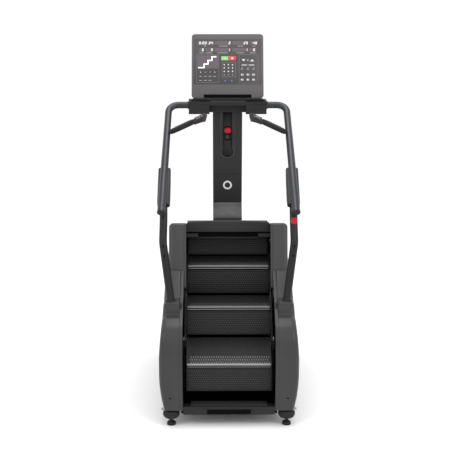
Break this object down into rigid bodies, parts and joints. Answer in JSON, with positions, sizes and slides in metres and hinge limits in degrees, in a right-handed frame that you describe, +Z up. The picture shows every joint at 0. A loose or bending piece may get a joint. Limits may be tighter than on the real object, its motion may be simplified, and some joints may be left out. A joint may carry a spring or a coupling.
{
  "type": "stair climber",
  "caption": "Revolving-stair exercise machine with folding steps on chains between side covers, a mast with console, and bent handrails.",
  "frame": {"origin": "middle of the machine on the floor", "axes": "+X to the user's right, +Y from the user towards the console, +Z up"},
  "size_m": [0.9, 1.446, 2.3653],
  "materials": {
    "shell": "satin moulded",
    "dark_plastic": "fine textured",
    "step_black": "black, ribbed",
    "painted_steel": "satin black powder coat",
    "bare_steel": "machined",
    "rail_coat": "satin grey powder coat",
    "rubber": "matt",
    "console_grey": "satin",
    "display_glass": "smooth membrane",
    "stop_red": "gloss",
    "start_green": "gloss"
  },
  "bodies": {
    "root": {"base_frame": "painted_steel", "mast": "painted_steel", "mast_cover": "shell", "rear_cover": "shell", "top_panel": "dark_plastic", "kick_plate": "painted_steel", "belly_pan": "painted_steel", "console_tray": "dark_plastic", "console_back": "shell", "console_bezel": "console_grey", "console_bracket": "painted_steel", "display_panel": "display_glass", "estop_box": "dark_plastic", "drive_belt": "rubber", "brake_housing": "painted_steel", "side_frame_left": "painted_steel", "side_cover_left": "shell", "handrail_left": "rail_coat", "rail_post_left": "painted_steel", "rail_shroud_left": "shell", "hand_grip_left": "rubber", "control_pod_left": "dark_plastic", "chain_left": "bare_steel", "side_frame_right": "painted_steel", "side_cover_right": "shell", "handrail_right": "rail_coat", "rail_post_right": "painted_steel", "rail_shroud_right": "shell", "hand_grip_right": "rubber", "control_pod_right": "dark_plastic", "chain_right": "bare_steel"},
    "step_1": {"tread_1": "step_black", "riser_1": "step_black"},
    "step_2": {"tread_2": "step_black", "riser_2": "step_black"},
    "step_3": {"tread_3": "step_black", "riser_3": "step_black"},
    "step_4": {"tread_4": "step_black", "riser_4": "step_black"},
    "step_5": {"tread_5": "step_black", "riser_5": "step_black"},
    "step_6": {"tread_6": "step_black", "riser_6": "step_black"},
    "step_7": {"tread_7": "step_black", "riser_7": "step_black"},
    "lower_shaft_body": {"lower_shaft": "bare_steel"},
    "upper_shaft_body": {"upper_shaft": "bare_steel"},
    "brake_rotor_body": {"brake_rotor": "bare_steel"},
    "estop_button_body": {"estop_button": "stop_red"},
    "rail_stop_button_body": {"rail_stop_button": "stop_red"},
    "start_key_body": {"start_key": "start_green"},
    "stop_key_body": {"stop_key": "stop_red"},
    "foot_front_left": {"levelling_foot_front_left": "rubber"},
    "foot_front_right": {"levelling_foot_front_right": "rubber"},
    "foot_rear_left": {"levelling_foot_rear_left": "rubber"},
    "foot_rear_right": {"levelling_foot_rear_right": "rubber"},
    "wheel_left": {"transport_wheel_left": "rubber"},
    "rocker_left": {"speed_rocker_left": "console_grey"},
    "wheel_right": {"transport_wheel_right": "rubber"},
    "rocker_right": {"speed_rocker_right": "console_grey"}
  },
  "joints": [
    {"name": "stair_travel", "type": "slide", "parent": "root", "child": "step_3", "axis": [0, -0.771, -0.6368], "range_m": [0, 0.05]},
    {"name": "step_4_travel", "type": "slide", "parent": "root", "child": "step_4", "axis": [0, -0.771, -0.6368], "range_m": [-0.001, 0.051]},
    {"name": "step_5_travel", "type": "slide", "parent": "root", "child": "step_5", "axis": [0, -0.771, -0.6368], "range_m": [-0.001, 0.051]},
    {"name": "step_1_travel", "type": "slide", "parent": "root", "child": "step_1", "axis": [0, 0.771, 0.6368], "range_m": [-0.001, 0.051]},
    {"name": "step_7_travel", "type": "slide", "parent": "root", "child": "step_7", "axis": [0, 0.771, 0.6368], "range_m": [-0.001, 0.051]},
    {"name": "step_6_travel", "type": "slide", "parent": "root", "child": "step_6", "axis": [0, 0.771, 0.6368], "range_m": [-0.001, 0.051]},
    {"name": "step_2_wrap", "type": "hinge", "parent": "root", "child": "step_2", "pos_m": [0, -0.34, 0.447], "axis": [1, 0, 0], "range_deg": [-0.5, 28.71]},
    {"name": "lower_shaft_turn", "type": "hinge", "parent": "root", "child": "lower_shaft_body", "pos_m": [0, -0.34, 0.447], "axis": [1, 0, 0], "range_deg": [-0.5, 28.71]},
    {"name": "upper_shaft_turn", "type": "hinge", "parent": "root", "child": "upper_shaft_body", "pos_m": [0, 0.275, 0.955], "axis": [1, 0, 0], "range_deg": [-0.5, 28.71]},
    {"name": "brake_rotor_turn", "type": "hinge", "parent": "root", "child": "brake_rotor_body", "pos_m": [0, 0.41, 0.45], "axis": [1, 0, 0], "range_deg": [-1, 89.65]},
    {"name": "foot_front_left_turn", "type": "hinge", "parent": "root", "child": "foot_front_left", "pos_m": [-0.361, -0.67, 0], "axis": [0, 0, 1], "range_deg": [-180, 180]},
    {"name": "foot_front_right_turn", "type": "hinge", "parent": "root", "child": "foot_front_right", "pos_m": [0.361, -0.67, 0], "axis": [0, 0, 1], "range_deg": [-180, 180]},
    {"name": "foot_rear_left_turn", "type": "hinge", "parent": "root", "child": "foot_rear_left", "pos_m": [-0.361, 0.67, 0], "axis": [0, 0, 1], "range_deg": [-180, 180]},
    {"name": "foot_rear_right_turn", "type": "hinge", "parent": "root", "child": "foot_rear_right", "pos_m": [0.361, 0.67, 0], "axis": [0, 0, 1], "range_deg": [-180, 180]},
    {"name": "wheel_left_turn", "type": "hinge", "parent": "root", "child": "wheel_left", "pos_m": [-0.245, 0.676, 0.046], "axis": [1, 0, 0], "continuous": true},
    {"name": "rocker_left_tilt", "type": "hinge", "parent": "root", "child": "rocker_left", "pos_m": [-0.19344, -0.04075, 1.85006], "axis": [0.159, 0.8389, 0.5206], "range_deg": [-4, 4], "stiffness_Nm_per_rad": 0.2},
    {"name": "wheel_right_turn", "type": "hinge", "parent": "root", "child": "wheel_right", "pos_m": [0.245, 0.676, 0.046], "axis": [1, 0, 0], "continuous": true},
    {"name": "rocker_right_tilt", "type": "hinge", "parent": "root", "child": "rocker_right", "pos_m": [0.19344, -0.04075, 1.85006], "axis": [0.159, -0.8389, -0.5206], "range_deg": [-4, 4], "stiffness_Nm_per_rad": 0.2},
    {"name": "estop_press", "type": "slide", "parent": "root", "child": "estop_button_body", "axis": [0, 1, 0], "range_m": [0, 0.004]},
    {"name": "rail_stop_press", "type": "slide", "parent": "root", "child": "rail_stop_button_body", "axis": [0, 0.9135, -0.4067], "range_m": [0, 0.002], "stiffness_N_per_m": 600},
    {"name": "start_key_press", "type": "slide", "parent": "root", "child": "start_key_body", "axis": [0, 0.9816, -0.1908], "range_m": [0, 0.0012], "stiffness_N_per_m": 600},
    {"name": "stop_key_press", "type": "slide", "parent": "root", "child": "stop_key_body", "axis": [0, 0.9816, -0.1908], "range_m": [0, 0.0012], "stiffness_N_per_m": 600}
  ],
  "couplings": [
    {"joint": "step_4_travel", "follows": "stair_travel", "ratio": 1},
    {"joint": "step_5_travel", "follows": "stair_travel", "ratio": 1},
    {"joint": "step_1_travel", "follows": "stair_travel", "ratio": 1},
    {"joint": "step_7_travel", "follows": "stair_travel", "ratio": 1},
    {"joint": "step_6_travel", "follows": "stair_travel", "ratio": 1},
    {"joint": "step_2_wrap", "follows": "stair_travel", "rad_per_m": 9.8461},
    {"joint": "lower_shaft_turn", "follows": "stair_travel", "rad_per_m": 9.8461},
    {"joint": "upper_shaft_turn", "follows": "stair_travel", "rad_per_m": 9.8461},
    {"joint": "brake_rotor_turn", "follows": "stair_travel", "rad_per_m": 30.945}
  ]
}
